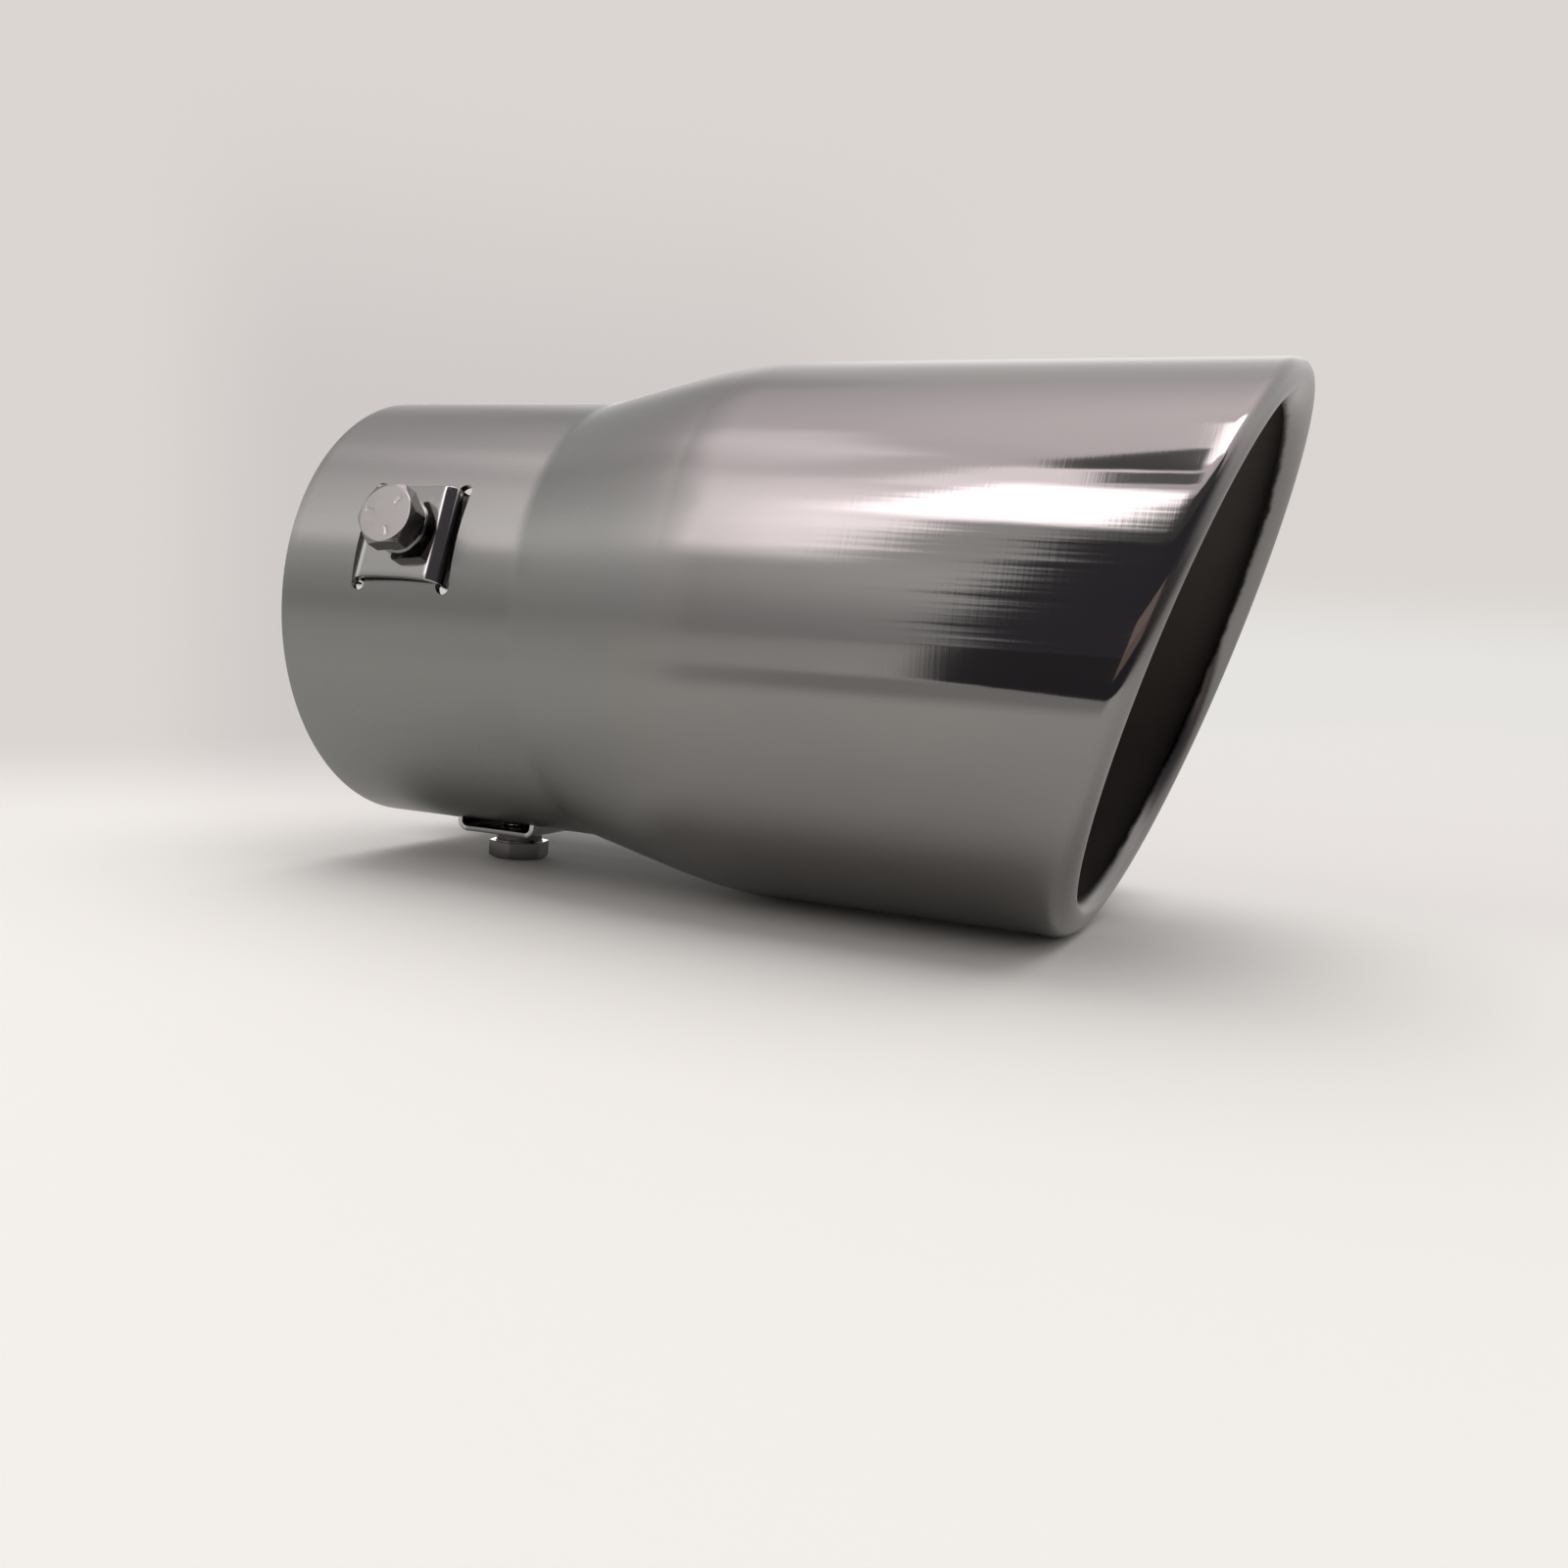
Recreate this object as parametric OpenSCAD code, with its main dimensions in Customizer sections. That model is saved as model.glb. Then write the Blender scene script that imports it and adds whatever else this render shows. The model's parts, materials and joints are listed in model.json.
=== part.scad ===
// Bolt-on exhaust tail pipe tip: one formed steel tube with a rolled, slanted
// outlet, and three clamp straps with bolts round its inlet collar.
// The origin is the centre of the inlet rim, +X runs along the tube to the
// outlet and +Z is up. All sizes are in millimetres and degrees.

/* [Inlet collar] */
// Outside diameter of the collar that slips over the tail pipe
collar_od = 63; // [54:0.5:66]
// Thickness of the tube's sheet
wall = 1; // [0.8:0.1:1.4]
// Length from the inlet rim to the crease where the flare starts
collar_len = 37.4; // [32:0.2:50]

/* [Flare] */
// Slope of the flare against the tube's axis
flare_angle = 13.5; // [9:0.5:16]
// Radius of the soft crease between collar and flare
crease_r = 8; // [3:0.5:15]
// Radius of the shoulder between flare and body
shoulder_r = 50; // [20:1:80]

/* [Body and outlet] */
// Outside diameter of the wide body
body_od = 73.8; // [70:0.2:84]
// Length on the axis from the inlet rim to the outlet's front plane
tip_len = 119; // [110:1:150]
// Slant of the outlet's front plane, the upper edge standing forward
slant = 17; // [0:0.5:24]
// Outside radius of the edge rolled inwards round the outlet
roll_r = 2.5; // [2:0.1:4]

/* [Clamp straps] */
// Distance from the inlet rim to the middle of the straps and bolts
strap_x = 19.8; // [17:0.1:24]
// How far the two upper straps sit above the horizontal, seen along the tube
upper_strap_angle = 18.5; // [0:0.5:40]
// Length of a strap along the tube, over its two legs
strap_len = 13.6; // [12:0.2:15]
// Width of a strap round the tube
strap_width = 13.4; // [12:0.1:16]
// Thickness of the strap's sheet
strap_t = 0.8; // [0.6:0.1:1.2]
// Gap between the strap's middle and the tube
strap_gap = 0.5; // [0.3:0.1:1]
// Inside radius of the strap's two bends
strap_bend_r = 0.9; // [0.5:0.1:1.2]
// Clearance between the strap's bend or leg and the inner edge of its slot
leg_gap = 0.1; // [0.05:0.01:0.3]
// Free slot beyond each strap leg, along the tube
slot_gap = 1.1; // [0.4:0.1:1.6]
// Free slot at each side of a strap leg, before the slot's round end
slot_end_gap = 0; // [0:0.05:1]
// How far a strap's foot reaches under the tube's wall beyond its slot
foot_grip = 1.2; // [0.6:0.1:2]
// Clearance between the corners of a foot and the bore
foot_gap = 0.05; // [0.02:0.01:0.2]
// Inside radius of the bend between a leg and its foot
foot_bend_r = 0.4; // [0.2:0.1:0.8]
// Outside diameter of the threaded collar drawn up from the strap
thread_collar_d = 7; // [6.6:0.1:7.6]
// Height of the threaded collar above the strap
thread_collar_h = 1.3; // [0.8:0.1:1.6]

/* [Bolts] */
// Thread diameter of the bolts
bolt_d = 5; // [4:0.5:6]
// Length of a bolt under its head
bolt_len = 8; // [6:1:12]
// Width of the hexagon across its flats
bolt_af = 8; // [7:0.5:10]
// Height of the bolt's head
bolt_head_h = 2.8; // [2:0.1:4]
// Radial clearance between the bolt and its thread
thread_clearance = 0.05; // [0.02:0.01:0.1]
// Radial clearance round the bolt where it passes through the tube
bolt_hole_gap = 0.6; // [0.3:0.1:1]
// How far the bolts of the two upper straps sit above the middle of the straps
bolt_shift = 0.7; // [0:0.1:2]

/* [Hidden] */

collar_r = collar_od / 2;
body_r = body_od / 2;
bore_r = collar_r - wall;
cut_past = 0.01;    // how far a cutter runs past the face that it opens
overrun = 5;        // how far a through cut runs past the metal

// The flare in the plane of axis and radius: where the collar, cone and body
// lines would meet, and where the crease and shoulder arcs touch them
flare_rise = body_r - collar_r;
cone_end = collar_len + flare_rise / tan(flare_angle);
crease_reach = crease_r * tan(flare_angle / 2);
shoulder_reach = shoulder_r * tan(flare_angle / 2);
crease_start = collar_len - crease_reach;
crease_end = collar_len + crease_reach * cos(flare_angle);
shoulder_start = cone_end - shoulder_reach * cos(flare_angle);
shoulder_end = cone_end + shoulder_reach;

// The slanted outlet: the roll starts on this plane, measured on the axis
roll_start = tip_len - roll_r;
shear = [[1, 0, tan(slant), roll_start], [0, 1, 0, 0], [0, 0, 1, 0], [0, 0, 0, 1]];

// Strap heights above the tube's axis
strap_in = collar_r + strap_gap;
strap_out = strap_in + strap_t;
strap_half = strap_len / 2;
strap_bend_out = strap_bend_r + strap_t;
thread_r = bolt_d / 2 + thread_clearance;
thread_collar_top = strap_out + thread_collar_h;
collar_flare = 0.5;      // the threaded collar widens by this at its foot

// A foot lies just inside the bore, which comes nearest at the strap's edges
foot_top = sqrt(pow(bore_r, 2) - pow(strap_width / 2, 2)) - foot_gap;
foot_len = slot_gap + foot_grip;
foot_bend_out = foot_bend_r + strap_t;
leg_end = foot_top + foot_bend_r;

// Slots: their inner edges stay clear of the bends, which start below the
// tube's crown where the bend radius is larger than the strap's gap
bend_sink = max(strap_bend_r - strap_gap, 0);
bend_reach = strap_bend_r - sqrt(pow(strap_bend_r, 2) - pow(bend_sink, 2));
slot_in = strap_half - strap_t - bend_reach - leg_gap;
slot_out = strap_half + slot_gap;
slot_r = (slot_out - slot_in) / 2;
slot_straight = strap_width + 2 * slot_end_gap;

// Bolt heights above the tube's axis
bolt_seat = thread_collar_top;
bolt_tip = bolt_seat - bolt_len;
washer_face_h = 0.2;
tip_chamfer = 0.6;
chamfer_angle = 30;
face_inset = 0.05;       // the head's round faces lie this far inside its flats
head_face_r = bolt_af / 2 - face_inset;
head_corner_r = bolt_af / 2 / cos(30);
head_chamfer_h = (head_corner_r - head_face_r) * tan(chamfer_angle);
head_hex_h = bolt_head_h - washer_face_h;

// For the front, rear and bottom clamp: the angle, how far the bolt sits from
// the strap's middle along the strap's width, and how far its hexagon is turned
STRAP_ANGLES = [upper_strap_angle, 180 - upper_strap_angle, -90];
BOLT_SHIFTS = [bolt_shift, -bolt_shift, 0];
BOLT_TURNS = [6, 22, 17];

FN_TUBE = 180;
FN_ARC = 96;
FN_SMALL = 48;

steel = [0.55, 0.54, 0.53];
bright_steel = [0.68, 0.67, 0.66];
zinc = [0.72, 0.71, 0.70];

// Places children at a clamp: their +Z points out of the tube at its angle
// above the horizontal on the near side, and their +X stays along the tube
module at_clamp(number) {
    translate([strap_x, 0, 0]) rotate([90 - STRAP_ANGLES[number], 0, 0]) children();
}

// Places children on a clamp's bolt axis
module on_bolt(number) {
    translate([0, BOLT_SHIFTS[number], 0]) children();
}

// Turns a profile of radius and axial place about the tube's axis
module about_axis() {
    rotate([0, 90, 0]) rotate_extrude($fn = FN_TUBE) children();
}

// The half section of a solid tube form that lies inset under the outside
module form_section(inset, from) {
    r1 = collar_r - inset;
    r2 = body_r - inset;
    crease_top = r1 + crease_r * (1 - cos(flare_angle));
    shoulder_low = r2 - shoulder_r * (1 - cos(flare_angle));
    translate([0, from]) square([r1, crease_start - from]);
    difference() {
        polygon([[0, crease_start], [r1, crease_start], [crease_top, crease_start],
                 [crease_top, crease_end], [0, crease_end]]);
        translate([r1 + crease_r, crease_start]) circle(r = crease_r, $fn = FN_TUBE);
    }
    polygon([[0, crease_end], [crease_top, crease_end],
             [shoulder_low, shoulder_start], [0, shoulder_start]]);
    intersection() {
        translate([0, shoulder_start]) square([r2, shoulder_end - shoulder_start]);
        translate([r2 - shoulder_r, shoulder_end]) circle(r = shoulder_r, $fn = FN_TUBE);
    }
    translate([0, shoulder_end]) square([r2, tip_len + body_r - shoulder_end]);
}

// Everything in front of the plane where the roll starts
module outlet_cut() {
    multmatrix(shear) translate([0, -body_od, -body_od]) cube(2 * body_od);
}

// The edge turned inwards through half a turn, sheared to the slant. A tube
// along X keeps its outside under this shear, so the roll runs on from the body.
module outlet_roll() {
    multmatrix(shear) about_axis()
        translate([body_r - roll_r, 0]) difference() {
            circle(r = roll_r, $fn = FN_ARC);
            circle(r = roll_r - wall, $fn = FN_ARC);
            translate([-2 * roll_r, -4 * roll_r]) square([4 * roll_r, 4 * roll_r]);
        }
}

// Slots for one strap's legs and the hole for its bolt
module clamp_openings(number) {
    for (side = [0, 180])
        rotate([0, 0, side])
            translate([slot_in + slot_r, 0, bore_r - overrun])
                linear_extrude(wall + 2 * overrun) {
                    square([2 * slot_r, slot_straight], center = true);
                    for (end = [-1, 1])
                        translate([0, end * slot_straight / 2]) circle(r = slot_r, $fn = FN_SMALL);
                }
    on_bolt(number) translate([0, 0, bore_r - overrun])
        cylinder(r = bolt_d / 2 + bolt_hole_gap, h = wall + 2 * overrun, $fn = FN_SMALL);
}

module shell() {
    color(steel) difference() {
        union() {
            difference() {
                about_axis() difference() {
                    form_section(0, 0);
                    form_section(wall, -cut_past);
                }
                outlet_cut();
            }
            outlet_roll();
        }
        for (number = [0, 1, 2]) at_clamp(number) clamp_openings(number);
    }
}

// A block seen along the width of the strap, its two upper corners rounded
module rounded_top(half, low, high, r) {
    translate([-half, low]) square([2 * half, high - r - low]);
    translate([-half + r, low]) square([2 * (half - r), high - low]);
    intersection() {
        translate([-half, high - r]) square([2 * half, r]);
        for (side = [-1, 1])
            translate([side * (half - r), high - r]) circle(r = r, $fn = FN_SMALL);
    }
}

// One foot seen along the width of the strap: a quarter bend from the leg,
// then a straight stretch outwards
module foot() {
    translate([strap_half + foot_bend_r, leg_end]) intersection() {
        difference() {
            circle(r = foot_bend_out, $fn = FN_SMALL);
            circle(r = foot_bend_r, $fn = FN_SMALL);
        }
        translate([-2 * foot_bend_out, -2 * foot_bend_out]) square(2 * foot_bend_out);
    }
    translate([strap_half + foot_bend_r, foot_top - strap_t])
        square([foot_len - foot_bend_r, strap_t]);
}

// A strip bent down at both ends through the tube's slots, with feet that turn
// out under the wall, and a collar drawn up round the threaded hole
module strap(number) {
    color(bright_steel) difference() {
        union() {
            rotate([90, 0, 0]) linear_extrude(strap_width, center = true) {
                difference() {
                    rounded_top(strap_half, leg_end, strap_out, strap_bend_out);
                    rounded_top(strap_half - strap_t, leg_end - cut_past, strap_in, strap_bend_r);
                }
                foot();
                mirror([1, 0]) foot();
            }
            on_bolt(number) translate([0, 0, strap_out - strap_t / 2])
                cylinder(d = thread_collar_d, h = strap_t / 2 + thread_collar_h, $fn = FN_SMALL);
            on_bolt(number) translate([0, 0, strap_out])
                cylinder(r1 = thread_collar_d / 2 + collar_flare, r2 = thread_collar_d / 2,
                         h = collar_flare, $fn = FN_SMALL);
        }
        on_bolt(number) translate([0, 0, strap_in - overrun])
            cylinder(r = thread_r, h = strap_t + thread_collar_h + 2 * overrun, $fn = FN_SMALL);
    }
}

// A hexagon bolt with a chamfered tip and head, and a washer face
module bolt(number) {
    color(zinc) on_bolt(number) rotate([0, 0, BOLT_TURNS[number]]) {
        translate([0, 0, bolt_tip + tip_chamfer])
            cylinder(d = bolt_d, h = bolt_len - tip_chamfer, $fn = FN_SMALL);
        translate([0, 0, bolt_tip])
            cylinder(d1 = bolt_d - 2 * tip_chamfer, d2 = bolt_d, h = tip_chamfer, $fn = FN_SMALL);
        translate([0, 0, bolt_seat])
            cylinder(r = head_face_r, h = washer_face_h, $fn = FN_SMALL);
        translate([0, 0, bolt_seat + washer_face_h]) intersection() {
            cylinder(r = head_corner_r, h = head_hex_h, $fn = 6);
            union() {
                cylinder(r = head_corner_r + overrun, h = head_hex_h - head_chamfer_h,
                         $fn = FN_SMALL);
                translate([0, 0, head_hex_h - head_chamfer_h])
                    cylinder(r1 = head_corner_r, r2 = head_face_r, h = head_chamfer_h,
                             $fn = FN_SMALL);
            }
        }
    }
}

module front_strap() { at_clamp(0) strap(0); }
module rear_strap() { at_clamp(1) strap(1); }
module bottom_strap() { at_clamp(2) strap(2); }
module front_bolt() { at_clamp(0) bolt(0); }
module rear_bolt() { at_clamp(1) bolt(1); }
module bottom_bolt() { at_clamp(2) bolt(2); }

shell();
front_strap();
rear_strap();
bottom_strap();
front_bolt();
rear_bolt();
bottom_bolt();
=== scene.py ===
import json
import math

import bmesh
import bpy
import numpy as np
from mathutils import Matrix, Vector


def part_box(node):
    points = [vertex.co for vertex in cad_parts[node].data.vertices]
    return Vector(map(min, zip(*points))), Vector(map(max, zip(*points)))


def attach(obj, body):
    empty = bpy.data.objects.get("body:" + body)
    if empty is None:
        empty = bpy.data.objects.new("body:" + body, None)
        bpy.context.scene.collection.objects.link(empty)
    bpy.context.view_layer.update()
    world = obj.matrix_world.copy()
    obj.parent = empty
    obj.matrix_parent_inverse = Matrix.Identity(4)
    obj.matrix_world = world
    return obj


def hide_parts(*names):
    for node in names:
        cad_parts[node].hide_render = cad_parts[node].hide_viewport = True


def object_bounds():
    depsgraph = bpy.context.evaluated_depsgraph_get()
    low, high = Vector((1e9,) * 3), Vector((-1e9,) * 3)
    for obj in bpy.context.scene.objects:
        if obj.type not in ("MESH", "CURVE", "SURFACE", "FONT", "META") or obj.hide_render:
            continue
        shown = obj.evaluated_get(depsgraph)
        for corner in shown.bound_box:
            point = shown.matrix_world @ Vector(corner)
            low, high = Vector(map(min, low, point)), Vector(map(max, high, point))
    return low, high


# Bolt-on exhaust tail pipe tip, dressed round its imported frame. Lengths are in
# millimetres in the frame's axes: +X runs along the tube, +Z is up.
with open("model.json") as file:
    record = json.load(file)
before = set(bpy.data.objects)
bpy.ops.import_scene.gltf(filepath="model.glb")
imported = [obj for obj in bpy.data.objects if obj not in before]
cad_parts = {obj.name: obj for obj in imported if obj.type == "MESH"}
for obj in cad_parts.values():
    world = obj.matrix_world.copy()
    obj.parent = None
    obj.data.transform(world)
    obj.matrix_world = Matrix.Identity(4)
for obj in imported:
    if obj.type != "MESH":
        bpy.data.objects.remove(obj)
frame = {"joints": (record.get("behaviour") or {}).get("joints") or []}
cad_low, cad_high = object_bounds()
MM = 0.001

# Sizes that the frame gives
shell_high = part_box("shell")[1]
body_r = shell_high.z / MM
floor_z = cad_low[2] / MM
strap_x = sum(corner.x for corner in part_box("front_bolt")) / 2 / MM
bolt_axes = {joint["child"]: Vector(joint["axis"]) for joint in frame["joints"]}

# The tube's form, as in the part's source
collar_r = 31.5
wall = 1.0
collar_len = 37.4
flare_angle = math.radians(13.5)
crease_r = 8.0
shoulder_r = 50.0
slant_slope = math.tan(math.radians(17))
roll_r = 2.5
rim_r = 0.25

bore_r = collar_r - wall
roll_ring_r = body_r - roll_r
roll_start = shell_high.x / MM - roll_ring_r * slant_slope - roll_r * math.hypot(1, slant_slope)
cone_end = collar_len + (body_r - collar_r) / math.tan(flare_angle)
crease_start = collar_len - crease_r * math.tan(flare_angle / 2)
shoulder_end = cone_end + shoulder_r * math.tan(flare_angle / 2)

# How far to either side the bend from the flare into the body is evened out
shoulder_ease = 5.5

# Straps and their slots
strap_half = 6.8
strap_width = 13.4
strap_waist = 0.3
strap_t = 0.8
strap_in = collar_r + 0.5
strap_out = strap_in + strap_t
strap_bend_r = 0.9
strap_edge_r = 0.15
foot_bend_r = 0.4
foot_top = math.sqrt(bore_r ** 2 - (strap_width / 2) ** 2) - 0.05
foot_len = 2.3
slot_in = 5.806
slot_out = 7.9
slot_straight = strap_width
thread_collar_r = 3.5
thread_collar_top = strap_out + 1.3
collar_flare = 0.5
thread_hole_r = 2.55
wall_hole_r = 3.1

# Bolts
bolt_r = 2.5
bolt_len = 8.0
bolt_half_af = 4.0
bolt_head_h = 2.8
washer_face_h = 0.2
washer_face_r = 3.65
head_face_r = 3.95
head_edge_r = 0.18
head_chamfer = math.radians(30)
tip_chamfer = 0.6
thread_pitch = 0.8
thread_depth = 0.43

ROUND = 288

# For each clamp its bolt's body, how far the bolt sits from the strap's middle
# across the tube, and how far its hexagon is turned
CLAMPS = {
    "front": ("front_clamp_bolt", 0.7, 6),
    "rear": ("rear_clamp_bolt", -0.7, 22),
    "bottom": ("bottom_clamp_bolt", 0, 17),
}


def spaced(start, end, count):
    """count + 1 even values from start to end."""
    return [start + (end - start) * i / count for i in range(count + 1)]


def arc(centre, radius, start, end, count):
    """Points on an arc, from angle start to angle end in degrees."""
    angles = [math.radians(a) for a in spaced(start, end, count)]
    return [(centre[0] + radius * math.cos(a), centre[1] + radius * math.sin(a)) for a in angles]


def skin(name, rows, loop=False, cap=None, surfaces=None):
    """A mesh through rows of points, each row a ring. cap closes the end rows."""
    count = len(rows[0])
    points = [Vector(point) * MM for row in rows for point in row]
    pairs = [(a, a + 1) for a in range(len(rows) - 1)]
    if loop:
        pairs.append((len(rows) - 1, 0))
    faces, marks = [], []
    for a, b in pairs:
        for i in range(count):
            j = (i + 1) % count
            faces.append((a * count + i, a * count + j, b * count + j, b * count + i))
            marks.append(surfaces[a] if surfaces else 0)
    if cap:
        for start in (0, (len(rows) - 1) * count):
            for face in cap(count):
                faces.append(tuple(start + i for i in face))
                marks.append(0)
    mesh = bpy.data.meshes.new(name)
    mesh.from_pydata(points, [], faces)
    mesh.polygons.foreach_set("material_index", marks)
    work = bmesh.new()
    work.from_mesh(mesh)
    bmesh.ops.recalc_face_normals(work, faces=work.faces)
    work.to_mesh(mesh)
    work.free()
    piece = bpy.data.objects.new(name, mesh)
    bpy.context.scene.collection.objects.link(piece)
    return piece


def disc_cap(count):
    return [tuple(range(count))]


def strip_cap(count):
    """Quads across a strip whose ring runs out on one side and back on the other."""
    return [(i, i + 1, count - 2 - i, count - 1 - i) for i in range(count // 2 - 1)]


def settle(piece):
    """Turns a piece's modifiers into its mesh."""
    bpy.context.view_layer.update()
    seen = piece.evaluated_get(bpy.context.evaluated_depsgraph_get())
    mesh = bpy.data.meshes.new_from_object(seen)
    piece.modifiers.clear()
    piece.data = mesh


def combine(piece, tool, operation):
    """Adds or cuts a closed tool mesh, and deletes the tool."""
    step = piece.modifiers.new(operation, "BOOLEAN")
    step.operation = operation
    step.solver = "EXACT"
    step.object = tool
    settle(piece)
    bpy.data.objects.remove(tool)


def soften(piece, angle=35):
    """Shades the piece smooth, and sharp where faces meet at more than angle."""
    piece.data.polygons.foreach_set("use_smooth", [True] * len(piece.data.polygons))
    piece.data.set_sharp_from_angle(angle=math.radians(angle))


def strap_frame(body):
    """The place of a strap: local +Z points out of the tube, +X runs along it."""
    out = bolt_axes[body]
    along = Vector((1, 0, 0))
    turn = Matrix((along, out.cross(along), out)).transposed().to_4x4()
    return Matrix.Translation((strap_x, 0, 0)) @ turn


def bolt_frame(body, shift):
    return strap_frame(body) @ Matrix.Translation((0, shift, 0))


def placed(place, rows):
    return [[place @ Vector(point) for point in row] for row in rows]


def flare_profile(inset):
    """Places and radii from the rim to the shoulder's end, moved in by inset."""
    narrow, wide = collar_r - inset, body_r - inset
    slope = math.degrees(flare_angle)
    profile = [(x, narrow) for x in spaced(rim_r, crease_start, 26)]
    profile += arc((crease_start, narrow + crease_r), crease_r, -90, slope - 90, 12)[1:]
    shoulder = arc((shoulder_end, wide - shoulder_r), shoulder_r, 90 + slope, 90, 24)
    bend = [profile[-1]] + shoulder
    for x in spaced(profile[-1][0], shoulder_end, 60)[1:]:
        reach = min(shoulder_ease, x - bend[0][0], shoulder_end - x)
        places = np.linspace(x - reach, x + reach, 31)
        profile.append((x, float(np.interp(places, *zip(*bend)).mean())))
    return profile


def tube_rows():
    """Rings of the tube's skin: out along the outside, round the roll, back inside."""
    rings, marks = [], []

    def add(ring, mark):
        rings.append(ring)
        marks.append(mark)

    for x, r in arc((rim_r, collar_r - rim_r), rim_r, 180, 90, 5)[:-1]:
        add((x, 0, r), 0)
    for x, r in flare_profile(0):
        add((x, 0, r), 0)
    for t in spaced(0, 1, 48)[1:-1]:
        add((shoulder_end * (1 - t) + roll_start * t, t, body_r), 0)
    for x, r in arc((roll_start, roll_ring_r), roll_r, 90, -90, 44):
        add((x, 1, r), 0)
    for x, r in arc((roll_start, roll_ring_r), roll_r - wall, -90, 90, 30):
        add((x, 1, r), 1)
    for t in spaced(1, 0, 30)[1:-1]:
        add((shoulder_end * (1 - t) + roll_start * t, t, body_r - wall), 1)
    for x, r in reversed(flare_profile(wall)):
        add((x, 0, r), 1)
    for x, r in arc((rim_r, bore_r + rim_r), rim_r, -90, -180, 5)[1:]:
        add((x, 0, r), 0)

    rows = []
    for x, share, r in rings:
        row = []
        for i in range(ROUND):
            angle = 2 * math.pi * i / ROUND
            y, z = r * math.cos(angle), r * math.sin(angle)
            row.append((x + share * z * slant_slope, y, z))
        rows.append(row)
    return rows, marks


def slot_outline(side):
    """The outline of one slot, seen along the strap's +Z."""
    r = (slot_out - slot_in) / 2
    middle = side * (slot_in + r)
    ends = arc((middle, slot_straight / 2), r, 0, 180, 16)
    return ends + arc((middle, -slot_straight / 2), r, 180, 360, 16)


def make_shell():
    rows, marks = tube_rows()
    shell = skin("tube_shell", rows, loop=True, surfaces=marks)
    for material in (polished_steel(), dark_inside()):
        shell.data.materials.append(material)
    low, high = bore_r - 5, collar_r + 5
    hole = arc((0, 0), wall_hole_r, 0, 360, 48)[:-1]
    for body, shift, _turn in CLAMPS.values():
        middle = strap_frame(body)
        openings = ((slot_outline(1), middle), (slot_outline(-1), middle),
                    (hole, bolt_frame(body, shift)))
        for outline, place in openings:
            rows = [[(x, y, z) for x, y in outline] for z in (low, high)]
            tool = skin("cutter", placed(place, rows), cap=disc_cap)
            tool.data.materials.append(shell.data.materials[0])
            combine(shell, tool, "DIFFERENCE")
    soften(shell)
    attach(shell, "tip")
    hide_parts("shell")


def strap_path():
    """The strap's middle line and its outward direction, from one foot to the other."""
    bend_r = strap_bend_r + strap_t / 2
    bend = (strap_half - strap_bend_r - strap_t, strap_out - strap_bend_r - strap_t)
    foot = (strap_half + foot_bend_r, foot_top + foot_bend_r)
    half = [(x, strap_out - strap_t / 2, 0, 1) for x in spaced(0, bend[0], 16)[:-1]]
    for angle in spaced(90, 0, 14):
        c, s = math.cos(math.radians(angle)), math.sin(math.radians(angle))
        half.append((bend[0] + bend_r * c, bend[1] + bend_r * s, c, s))
    for angle in spaced(180, 270, 10):
        c, s = math.cos(math.radians(angle)), math.sin(math.radians(angle))
        r = foot_bend_r + strap_t / 2
        half.append((foot[0] + r * c, foot[1] + r * s, -c, -s))
    half.append((strap_half + foot_len, foot_top - strap_t / 2, 0, 1))
    left = [(-x, z, -nx, nz) for x, z, nx, nz in reversed(half[1:])]
    return left + half


def strap_rows():
    """Slices across the strap's width, with rounded long edges and a slight waist."""
    path = strap_path()
    slices = []
    for angle in spaced(-90, 0, 5):
        c, s = math.cos(math.radians(angle)), math.sin(math.radians(angle))
        slices.append((-strap_width / 2 + strap_edge_r * (1 + s),
                       strap_t / 2 - strap_edge_r * (1 - c)))
    low = slices[-1][0]
    slices += [(y, strap_t / 2) for y in spaced(low, -low, 16)[1:-1]]
    slices += [(-y, half) for y, half in reversed(slices[:6])]
    rows = []
    for y, half in slices:
        row = []
        for side, points in ((1, path), (-1, list(reversed(path)))):
            for x, z, nx, nz in points:
                inward = max(0, 1 - (x / strap_half) ** 2) * strap_waist / strap_width * 2
                row.append((x + side * half * nx, y * (1 - inward), z + side * half * nz))
        rows.append(row)
    return rows


def turned(profile, count=72):
    """Rings of a profile of radius and height turned about the strap's +Z."""
    angles = [2 * math.pi * i / count for i in range(count)]
    return [[(r * math.cos(a), r * math.sin(a), z) for a in angles] for r, z in profile]


def make_strap(side, body, shift, material):
    strap = skin(f"{side}_clamp_strap", placed(strap_frame(body), strap_rows()), cap=strip_cap)
    strap.data.materials.append(material)
    foot_r = thread_collar_r + collar_flare
    fillet = arc((foot_r, strap_out + collar_flare), collar_flare, 270, 180, 6)
    top = arc((thread_collar_r - 0.06, thread_collar_top - 0.06), 0.06, 0, 90, 4)
    profile = [(foot_r, strap_out - strap_t / 2)] + fillet + top
    place = bolt_frame(body, shift)
    combine(strap, skin("collar", placed(place, turned(profile)), cap=disc_cap), "UNION")
    drill = [(thread_hole_r, strap_in - 5), (thread_hole_r, strap_out + 5)]
    combine(strap, skin("drill", placed(place, turned(drill)), cap=disc_cap), "DIFFERENCE")
    soften(strap)
    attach(strap, "tip")
    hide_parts(f"{side}_strap")


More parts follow.
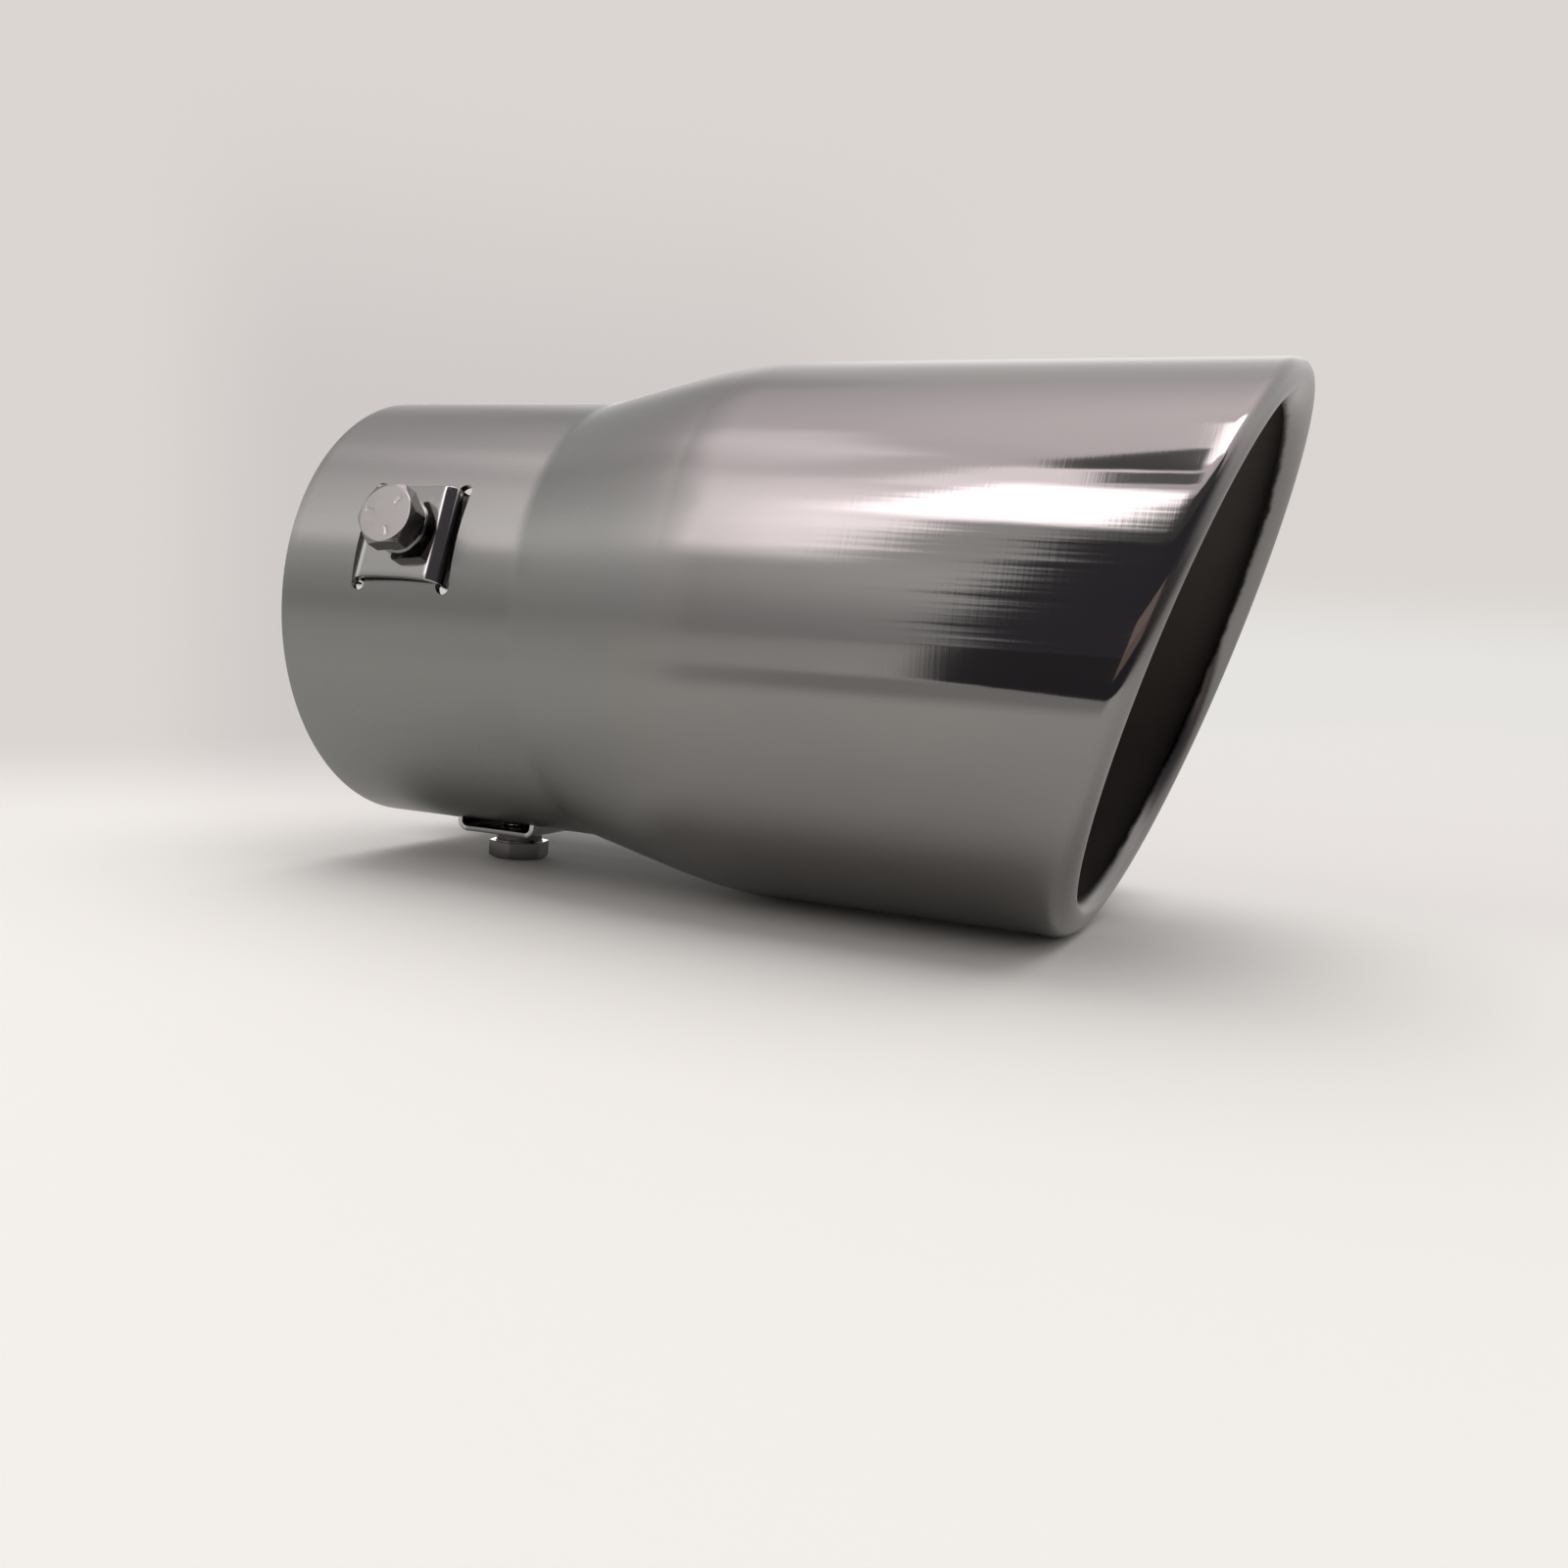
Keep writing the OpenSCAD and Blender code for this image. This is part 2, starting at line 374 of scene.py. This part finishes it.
def hexagon():
    """A hexagon with slightly rounded corners, as angles and radii."""
    centre_r = (bolt_half_af - head_edge_r) / math.cos(math.radians(30))
    corners = []
    for k in range(6):
        a = math.radians(60 * k)
        centre = (centre_r * math.cos(a), centre_r * math.sin(a))
        corners.append(arc(centre, head_edge_r, 60 * k - 30, 60 * k + 30, 4))
    points = []
    for k, corner in enumerate(corners):
        (x0, y0), (x1, y1) = corner[-1], corners[(k + 1) % 6][0]
        side = [(x0 + (x1 - x0) * t, y0 + (y1 - y0) * t) for t in spaced(0, 1, 12)[1:-1]]
        points += corner + side
    return [(math.atan2(y, x), math.hypot(x, y)) for x, y in points]


def thread_radius(angle, z, tip, seat):
    """The helical thread's radius, fading out at the tip and under the head."""
    phase = abs(2 * ((z / thread_pitch - angle / (2 * math.pi)) % 1) - 1)
    cut = min(max((phase - 0.12) / 0.64, 0), 1)
    fade = min(max((seat - z) / thread_pitch, 0), 1)
    chamfered = bolt_r - tip_chamfer + min(z - tip, tip_chamfer)
    return min(bolt_r - thread_depth * cut * fade, chamfered)


def stamped(angle, r):
    """Depth of the plain marks stamped into a head: three short radial bars."""
    nearest = (math.degrees(angle) + 15) % 120 - 60
    across = abs(r * math.sin(math.radians(nearest)))
    return 0.05 if abs(nearest) < 60 and across < 0.17 and 1.9 < r < 3.1 else 0


def bolt_rows():
    outline = hexagon()
    seat = thread_collar_top
    tip = seat - bolt_len
    hex_low, top = seat + washer_face_h, seat + bolt_head_h

    def ring(radius, height):
        return [(radius(a, h) * math.cos(a), radius(a, h) * math.sin(a), height(a, h))
                for a, h in outline]

    def flat_ring(radius, z):
        return ring(lambda a, h: radius, lambda a, h: z)

    def chamfer_z(h):
        return top - max(h - head_face_r, 0) * math.tan(head_chamfer)

    rows = []
    for z in spaced(tip, seat - 0.02, 116):
        rows.append(ring(lambda a, h: thread_radius(a, z, tip, seat), lambda a, h: z))
    rows.append(flat_ring(washer_face_r - 0.1, seat))
    rows.append(flat_ring(washer_face_r, seat + 0.05))
    rows.append(flat_ring(washer_face_r, hex_low))
    rows.append(ring(lambda a, h: h - 0.06, lambda a, h: hex_low))
    for share in (0.03, 0.35, 0.7, 0.97):
        rows.append(ring(lambda a, h: h, lambda a, h: hex_low + (chamfer_z(h) - hex_low) * share))
    for share in (0.03, 0.5, 0.95):
        rows.append(ring(lambda a, h: h + (head_face_r - 0.08 - h) * share,
                         lambda a, h: chamfer_z(h) + (top - chamfer_z(h)) * share))
    for r in spaced(head_face_r - 0.12, 0.5, 22):
        rows.append(ring(lambda a, h: r, lambda a, h: top - stamped(a, r)))
    return rows


def make_bolt(side, body, shift, turn, material):
    place = bolt_frame(body, shift) @ Matrix.Rotation(math.radians(turn), 4, "Z")
    bolt = skin(f"{side}_hex_bolt", placed(place, bolt_rows()), cap=disc_cap)
    bolt.data.materials.append(material)
    soften(bolt, 28)
    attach(bolt, body)
    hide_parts(f"{side}_bolt")


class Nodes:
    """Builds a node tree. A value given to a socket is a number, a colour or a socket."""

    def __init__(self, owner):
        owner.use_nodes = True
        self.tree = owner.node_tree
        self.tree.nodes.clear()

    def put(self, socket, value):
        if isinstance(value, bpy.types.NodeSocket):
            self.tree.links.new(value, socket)
        else:
            socket.default_value = value

    def add(self, kind, inputs=None, **settings):
        node = self.tree.nodes.new("ShaderNode" + kind)
        for name, value in settings.items():
            setattr(node, name, value)
        for name, value in (inputs or {}).items():
            self.put(node.inputs[name], value)
        return node

    def math(self, operation, *values):
        node = self.add("Math", operation=operation)
        for socket, value in zip(node.inputs, values):
            self.put(socket, value)
        return node.outputs[0]

    def step(self, value, start, end, low=0.0, high=1.0):
        """Runs smoothly from low to high while value runs from start to end."""
        inputs = {"Value": value, "From Min": start, "From Max": end,
                  "To Min": low, "To Max": high}
        return self.add("MapRange", inputs, interpolation_type="SMOOTHSTEP").outputs[0]

    def between(self, value, low, high, soft):
        """1 where value lies between low and high, with edges as wide as soft."""
        rise = self.step(value, low - soft / 2, low + soft / 2)
        fall = self.step(value, high + soft / 2, high - soft / 2)
        return self.math("MULTIPLY", rise, fall)

    def mix(self, share, first, second):
        node = self.add("Mix", data_type="RGBA")
        for index, value in ((0, share), (6, first), (7, second)):
            self.put(node.inputs[index], value)
        return node.outputs[2]

    def blend(self, share, first, second):
        node = self.add("MixShader", {0: share})
        for socket, shader in zip(node.inputs[1:], (first, second)):
            self.put(socket, shader.outputs[0])
        return node

    def mixed(self, first, weight, second, other_weight):
        """The sum of two values, each times its own weight."""
        return self.math("ADD", self.math("MULTIPLY", first, weight),
                         self.math("MULTIPLY", second, other_weight))

    def place(self):
        """The piece's own coordinates in metres."""
        return self.add("TexCoord").outputs["Object"]

    def split(self, vector):
        return self.add("SeparateXYZ", {0: vector}).outputs

    def noise(self, vector, scale, detail=2.0, rough=0.5):
        """Noise with its own scale along each axis, in cells per metre."""
        stretched = self.add("VectorMath", {0: vector, 1: scale}, operation="MULTIPLY")
        inputs = {"Vector": stretched.outputs[0], "Scale": 1.0, "Detail": detail,
                  "Roughness": rough}
        return self.add("TexNoise", inputs).outputs[0]

    def bump(self, height, depth, below=None):
        inputs = {"Height": height, "Strength": 1.0, "Distance": depth}
        if below:
            inputs["Normal"] = below
        return self.add("Bump", inputs).outputs[0]

    def finish(self, shader, kind="Material"):
        self.tree.links.new(shader.outputs[0], self.add("Output" + kind).inputs[0])


def new_material(name):
    material = bpy.data.materials.new(name)
    return material, Nodes(material)


def polished_steel():
    """Stainless sheet: satin at the collar, mirror-like at the outlet, with fine
    scratches that run round the tube, and a ragged black edge inside the lip."""
    material, n = new_material("polished_tube_steel")
    place = n.place()
    x, y, z = n.split(place)
    grooves = n.noise(place, (2600, 40, 40), 3)
    ripples = n.noise(place, (110, 600, 600), 2)
    clouds = n.noise(place, (45, 90, 90), 3)
    shine = n.step(x, 0.048, 0.098, 0.27, 0.055)
    rough = n.math("ADD", shine, n.math("MULTIPLY", n.math("SUBTRACT", clouds, 0.5), 0.05))
    tint = n.mix(clouds, (0.247, 0.240, 0.233, 1), (0.223, 0.217, 0.214, 1))
    tint = n.mix(n.step(x, 0.048, 0.064), (0.228, 0.231, 0.222, 1), tint)
    radius = n.math("SQRT", n.math("ADD", n.math("POWER", y, 2), n.math("POWER", z, 2)))
    ahead = n.math("SUBTRACT", n.math("SUBTRACT", x, n.math("MULTIPLY", z, slant_slope)),
                   roll_start * MM)
    ragged = n.math("MULTIPLY", n.math("SUBTRACT", n.noise(place, (260, 260, 260), 4, 0.7), 0.5),
                    0.0013)
    inside = n.step(n.math("ADD", ahead, ragged), 0.0009, 0.0002)
    inside = n.math("MULTIPLY", inside, n.step(radius, 0.0330, 0.0327))
    at_roll = n.step(ahead, -0.004, -0.003)
    inside = n.math("MULTIPLY", inside, at_roll)
    tint = n.mix(inside, tint, (0.02, 0.018, 0.017, 1))
    rough = n.math("ADD", rough, n.math("MULTIPLY", inside, 0.4))
    lip = n.math("MULTIPLY", n.step(radius, 0.0350, 0.0342), at_roll)
    lip = n.math("MAXIMUM", n.step(ahead, 0.0006, 0.0018), lip)
    rough = n.math("MAXIMUM", rough, n.math("MULTIPLY", lip, 0.34))
    tangent = n.add("Tangent", direction_type="RADIAL", axis="X")
    shader = n.add("BsdfPrincipled", {
        "Base Color": tint, "Metallic": 1.0, "Roughness": rough,
        "Anisotropic": 0.85, "Anisotropic Rotation": 0.25, "Tangent": tangent.outputs[0],
        "Normal": n.bump(grooves, 2.0e-6, n.bump(ripples, 4.0e-6))})
    n.finish(shader)
    return material


def dark_inside():
    """The tube's inside: sheet steel dulled to a brownish black."""
    material, n = new_material("dark_tube_inside")
    place = n.place()
    patches = n.noise(place, (90, 220, 220), 4, 0.6)
    grain = n.noise(place, (1500, 300, 300), 2)
    shader = n.add("BsdfPrincipled", {
        "Base Color": n.mix(patches, (0.062, 0.054, 0.050, 1), (0.088, 0.074, 0.067, 1)),
        "Metallic": 0.15, "Roughness": n.step(patches, 0.3, 0.7, 0.48, 0.66),
        "Normal": n.bump(grain, 6.0e-6)})
    n.finish(shader)
    return material


def strap_steel():
    """Bright polished strip with faint scratches, its bends coloured far brighter as a painted
    highlight.
    """
    material, n = new_material("strap_steel")
    place = n.place()
    scratches = n.noise(place, (300, 2600, 2600), 3)
    smears = n.noise(place, (220, 220, 220), 3)
    tint = n.mix(smears, (0.205, 0.203, 0.196, 1), (0.18, 0.179, 0.174, 1))
    # Painted highlight: both bends get a far brighter colour, so that they show as white glints
    across = n.math("ABSOLUTE", n.math("SUBTRACT", n.split(place)["X"], strap_x * MM))
    tint = n.mix(n.step(across, 0.0050, 0.0056), tint, (0.46, 0.45, 0.44, 1))
    shader = n.add("BsdfPrincipled", {
        "Base Color": tint,
        "Metallic": 1.0, "Roughness": n.step(smears, 0.3, 0.7, 0.07, 0.15),
        "Normal": n.bump(scratches, 1.5e-6)})
    n.finish(shader)
    return material


def bolt_steel():
    """Plated steel with a slightly grainy, bright finish."""
    material, n = new_material("bolt_steel")
    place = n.place()
    grain = n.noise(place, (2200, 2200, 2200), 3)
    smears = n.noise(place, (420, 420, 420), 3)
    shader = n.add("BsdfPrincipled", {
        "Base Color": n.mix(smears, (0.255, 0.243, 0.240, 1), (0.215, 0.207, 0.204, 1)),
        "Metallic": 1.0, "Roughness": n.step(smears, 0.3, 0.7, 0.16, 0.27),
        "Normal": n.bump(grain, 6.0e-6)})
    n.finish(shader)
    return material


WALL = (0.705, 0.668, 0.640, 1)
# Painted shade: the backdrop's colour in a soft band behind the object
WALL_PAINTED_SHADE = (0.625, 0.585, 0.572, 1)
HORIZON = (0.790, 0.775, 0.755, 1)
TABLE = (0.890, 0.860, 0.825, 1)
# Painted shade: the table's colour from just behind the object outwards
TABLE_PAINTED_SHADE = (0.760, 0.730, 0.705, 1)
# Painted shadow: the table's colour in a patch under the tube, where its own shadow falls
TABLE_PAINTED_SHADOW = (0.360, 0.350, 0.340, 1)
EYE = Vector((145.13, -191.42, 1.00)) * MM


def grey(level):
    return (level, level * 0.975, level * 0.965, 1)


def rosy(level):
    return (level * 1.06, level * 0.955, level * 0.985, 1)


# What stands round the object, as the metal shows it. Azimuth 0 is on the
# camera's side, -Y, and grows towards +X; elevation 0 is level.
# The room's brightness at some elevations
ROOM = [(0, 0.66), (5, 0.70), (10, 0.80), (15, 0.93), (20, 1.08), (25, 1.12), (35, 0.92),
        (45, 0.92), (52, 1.0), (57, 1.13), (63, 1.32), (68, 1.5), (75, 1.7)]

# Each panel has its colour, azimuths, elevations, and how soft its edges are,
# all in degrees. A later one stands before the ones above it.
PANELS = [
    ("left_window", grey(4.5), (-152, -110), (-2, 13), (12, 5)),
    ("left_shade", grey(0.60), (-145, -82), (26, 51), (14, 6)),
    ("left_haze", grey(1.5), (-64, -42), (24, 46), (12, 10)),
    ("front_haze", rosy(1.65), (-70, -24), (47, 70), (10, 6)),
    ("ceiling_band", rosy(2.4), (-92, -58), (56.5, 68), (8, 4)),
    ("upper_haze", rosy(2.7), (-42, -27), (57, 69), (6, 4)),
    ("window_glow", rosy(2.3), (-50, -30), (47, 57), (6, 4)),
    ("lower_window", rosy(3.6), (-42, -25.5), (28.5, 47), (5, 8)),
    ("window", rosy(5.2), (-33, -16.5), (46.5, 61.5), (3, 3)),
    ("grey_edge", grey(0.35), (-18, -11), (38, 45), (3, 3)),
    ("dark_top", grey(0.13), (-14.5, 66), (37, 60), (3, 3)),
    ("dark_block", (0.078, 0.073, 0.083, 1), (-17, 92), (-17, 42), (3, 3)),
    ("warm_streak", (0.46, 0.36, 0.33, 1), (-6, 44), (-5, 12), (5, 3)),
]

# Overhead the panels are laid out by the direction's X and Y instead. The last
# number ends a panel slantwise, where Y less 1.2 times X goes over it.
OVERHEAD = [
    ("ceiling_lamp", rosy(4.6), (-0.125, 0.33), (-0.26, 0.10), 0.04, 1.0),
    ("beam", grey(0.2), (-0.235, -0.13), (-0.30, -0.12), 0.014, 0.048),
    ("second_beam", grey(0.3), (-0.205, -0.12), (-0.40, -0.322), 0.014, 1.0),
]


def studio_view(n):
    """The surroundings that gloss shows."""
    direction = n.add("TexCoord").outputs["Generated"]
    x, y, z = n.split(direction)
    azimuth = n.math("DEGREES", n.math("ARCTAN2", x, n.math("MULTIPLY", y, -1.0)))
    elevation = n.math("DEGREES", n.math("ARCSINE", z))
    ragged = n.noise(n.add("CombineXYZ", {"Z": z}).outputs[0], (1, 1, 26), 4, 0.65)
    azimuth = n.math("ADD", azimuth, n.math("MULTIPLY", n.math("SUBTRACT", ragged, 0.5), 16.0))
    ramp = n.add("ValToRGB", {"Fac": n.math("DIVIDE", elevation, 90.0)})
    shades = ramp.color_ramp
    while len(shades.elements) < len(ROOM):
        shades.elements.new(0.5)
    for element, (height, level) in zip(shades.elements, ROOM):
        element.position = height / 90
        element.color = rosy(level) if height > 56 else grey(level)
    colour = ramp.outputs[0]
    for _name, shade, azimuths, heights, soft in PANELS:
        share = n.math("MULTIPLY", n.between(azimuth, *azimuths, soft[0]),
                       n.between(elevation, *heights, soft[1]))
        colour = n.mix(share, colour, shade)
    above, slanted = n.step(z, 0.5, 0.6), n.mixed(y, 1.0, x, -1.2)
    for _name, shade, along, across, soft, end in OVERHEAD:
        share = n.math("MULTIPLY", n.between(x, *along, soft), n.between(y, *across, soft))
        share = n.math("MULTIPLY", share, n.step(slanted, end + soft, end - soft))
        colour = n.mix(n.math("MULTIPLY", share, above), colour, shade)
    return colour


def backdrop(n, x, y, low):
    """What stands behind, by the direction's X and Y: a painted shade in a soft band behind the
    object, and towards the right brighter where low is 1."""
    side = n.math("DIVIDE", x, n.math("ABSOLUTE", y))
    colour = n.mix(n.math("MULTIPLY", low, n.step(side, -0.5, -0.1)), WALL, HORIZON)
    return n.mix(n.between(side, -0.98, -0.38, 0.22), colour, WALL_PAINTED_SHADE)


def make_world():
    world = bpy.data.worlds.new("studio")
    bpy.context.scene.world = world
    n = Nodes(world)
    rays = n.add("LightPath").outputs
    x, y, z = n.split(n.add("TexCoord").outputs["Generated"])
    colour = n.mix(rays["Is Diffuse Ray"], studio_view(n),
                   n.mix(z, (0.17, 0.17, 0.17, 1), (0.72, 0.72, 0.72, 1)))
    wall = n.mix(n.step(z, 0.10, 0.32), backdrop(n, x, y, n.step(z, 0.06, 0)), WALL)
    colour = n.mix(rays["Is Camera Ray"], colour, wall)
    n.finish(n.add("Background", {"Color": colour}), "World")


def make_floor():
    """A pale table that runs on softly into the wall, with painted shade behind the tube, a
    painted shadow under it, and painted light and reflections that only the metal sees.
    """
    half = 6000
    corners = [(-half, -half, floor_z), (half, -half, floor_z),
               (half, half, floor_z), (-half, half, floor_z)]
    mesh = bpy.data.meshes.new("floor")
    mesh.from_pydata([Vector(c) * MM for c in corners], [], [(0, 1, 2, 3)])
    floor = bpy.data.objects.new("floor", mesh)
    bpy.context.scene.collection.objects.link(floor)
    material, n = new_material("pale_table")
    place = n.place()
    x, y, _z = n.split(place)
    # Painted shade: the table turns darker from just behind the tube outwards
    pale = n.mix(n.step(y, -0.02, 0.08), TABLE, TABLE_PAINTED_SHADE)
    # Painted shadow: a darker patch of table under the tube, just behind its lowest line
    under = n.math("MULTIPLY", n.between(x, -0.004, 0.105, 0.02),
                   n.between(y, 0.010, 0.042, 0.016))
    paper = n.add("BsdfPrincipled", {
        "Base Color": n.mix(under, pale, TABLE_PAINTED_SHADOW), "Roughness": 0.9, "Specular IOR Level": 0.1,
        "Normal": n.bump(n.noise(place, (900, 900, 900), 3), 1.0e-5)})
    east, north = n.math("SUBTRACT", x, EYE.x), n.math("SUBTRACT", y, EYE.y)
    left = n.step(n.mixed(x, -0.95, y, 0.3), 0.0, 0.18)
    far = n.math("MAXIMUM", left, n.step(y, -0.05, 1.4))
    surface = n.blend(far, paper, n.add("Emission", {"Color": backdrop(n, east, north, 1.0)}))
    # Painted reflection, seen only in the metal: the table turns near-black where the room's dark
    # side would stand before the object, and a band in front of the tube is dimmed as painted
    # shade
    in_front = n.step(n.mixed(y, 1.0, x, -0.7), -0.205, -0.213)
    painted_dark_reflection = n.math("MULTIPLY", in_front, n.step(n.mixed(x, 1.0, y, -0.316), 0.096, 0.110))
    painted_dim_shade = n.math("MULTIPLY", n.between(y, -0.17, -0.115, 0.03), n.step(x, -0.05, 0.03))
    painted_dark_reflection = n.math("MAXIMUM", painted_dark_reflection, n.math("MULTIPLY", painted_dim_shade, 0.4))
    mirrored = n.add("LightPath").outputs["Is Glossy Ray"]
    # Painted light, seen only in the metal: the table under and just in front of the tube partly
    # glows in its own colour, lightening the tube's shadow there
    below = n.math("ADD", y, n.step(x, 0.040, 0.055, 0.0, 0.012))
    painted_glow = n.math("MULTIPLY", n.math("MULTIPLY", n.step(below, -0.009, -0.029), 0.4), mirrored)
    surface = n.blend(painted_glow, surface, n.add("Emission", {"Color": TABLE}))
    # Part of that painted dark reflection is a warm brown stripe
    painted_warm_stripe = n.math("MULTIPLY", n.step(n.mixed(x, 1.0, y, -0.123), 0.112, 0.126),
                  n.math("MULTIPLY", n.step(n.mixed(x, 1.0, y, 1.0), 0.09, 0.04),
                         n.step(y, -0.20, -0.27)))
    painted_reflection_colour = n.mix(painted_warm_stripe, (0.058, 0.054, 0.060, 1), (0.36, 0.27, 0.23, 1))
    surface = n.blend(n.math("MULTIPLY", painted_dark_reflection, mirrored), surface,
                      n.add("Emission", {"Color": painted_reflection_colour}))
    n.finish(surface)
    mesh.materials.append(material)


def make_lamp():
    """One broad soft lamp above and behind, for the shadow towards the camera."""
    light = bpy.data.lights.new("soft_lamp", "AREA")
    light.shape = "RECTANGLE"
    light.size, light.size_y = 2.8, 2.4
    light.energy = 25.5
    lamp = bpy.data.objects.new("soft_lamp", light)
    bpy.context.scene.collection.objects.link(lamp)
    lamp.location = (0.1, 0.45, 1.9)
    aim = Vector((0.07, 0, 0)) - lamp.location
    lamp.rotation_euler = aim.to_track_quat("-Z", "Y").to_euler()
    lamp.visible_glossy = False


def make_camera():
    yaw, pitch, roll = (math.radians(a) for a in (23.05, 6.09, 3.66))
    forward = Vector((-math.sin(yaw) * math.cos(pitch), math.cos(yaw) * math.cos(pitch),
                      -math.sin(pitch)))
    level = Vector((math.cos(yaw), math.sin(yaw), 0))
    upright = level.cross(forward)
    right = level * math.cos(roll) + upright * math.sin(roll)
    up = upright * math.cos(roll) - level * math.sin(roll)
    lens = bpy.data.cameras.new("camera")
    lens.sensor_width = 36
    lens.lens = 33.75
    lens.clip_start = 0.01
    camera = bpy.data.objects.new("camera", lens)
    bpy.context.scene.collection.objects.link(camera)
    turn = Matrix((right, up, -forward)).transposed().to_4x4()
    camera.matrix_world = Matrix.Translation(EYE) @ turn
    bpy.context.scene.camera = camera


make_camera()
make_world()
make_floor()
make_lamp()
make_shell()
strap_finish, bolt_finish = strap_steel(), bolt_steel()
for side, (body, shift, turn) in CLAMPS.items():
    make_strap(side, body, shift, strap_finish)
    make_bolt(side, body, shift, turn, bolt_finish)
bpy.context.scene.view_settings.view_transform = "Standard"
